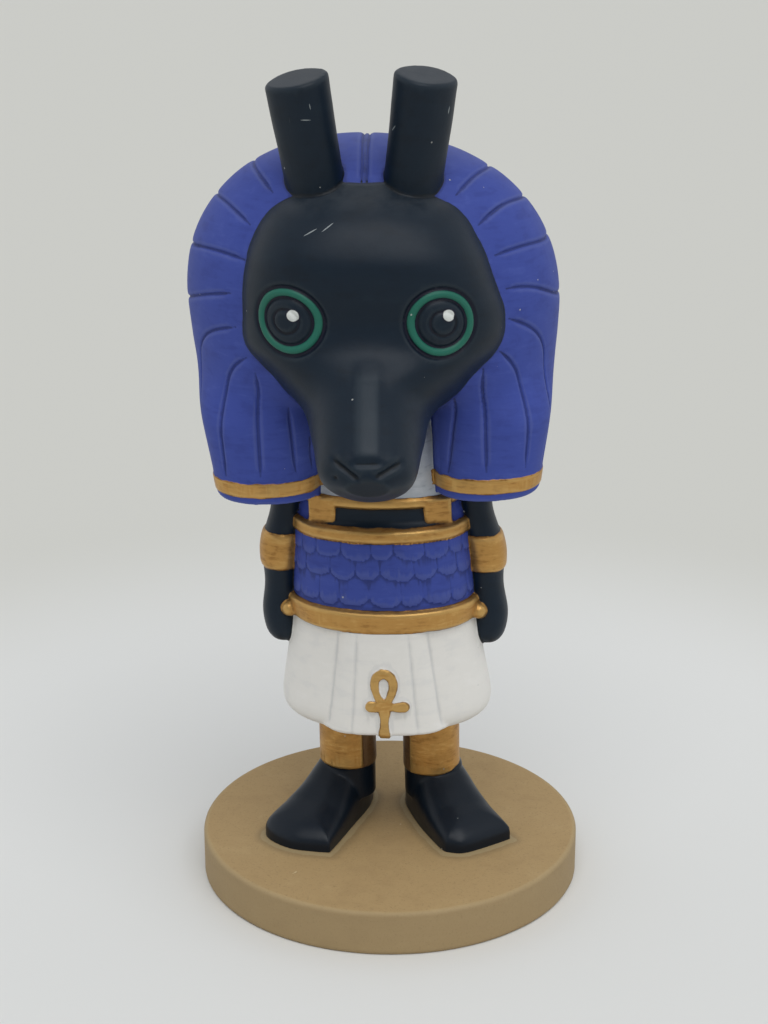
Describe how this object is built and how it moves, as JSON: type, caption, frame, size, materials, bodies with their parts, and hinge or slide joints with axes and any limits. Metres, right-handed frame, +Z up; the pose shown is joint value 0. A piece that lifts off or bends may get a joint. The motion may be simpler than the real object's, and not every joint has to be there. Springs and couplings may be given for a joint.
{
  "type": "figurine",
  "caption": "Small painted resin figurine of an animal-headed Egyptian god with tall square ears, a striped wig, a scale corselet and a white kilt, standing on a round base.",
  "frame": {"origin": "centre of the round base's underside", "axes": "+Z up, -Y out of the figure's face, +X towards the figure's left hand"},
  "size_m": [0.0461, 0.0491, 0.0987],
  "materials": {
    "painted_figure": "hand-painted resin in blue, satin black, dull gold and white, with dark paint in the grooves",
    "sand_base": "matt sand-coloured paint, darker round the side"
  },
  "bodies": {
    "root": {"figure": "painted_figure", "base": "sand_base"}
  },
  "joints": []
}
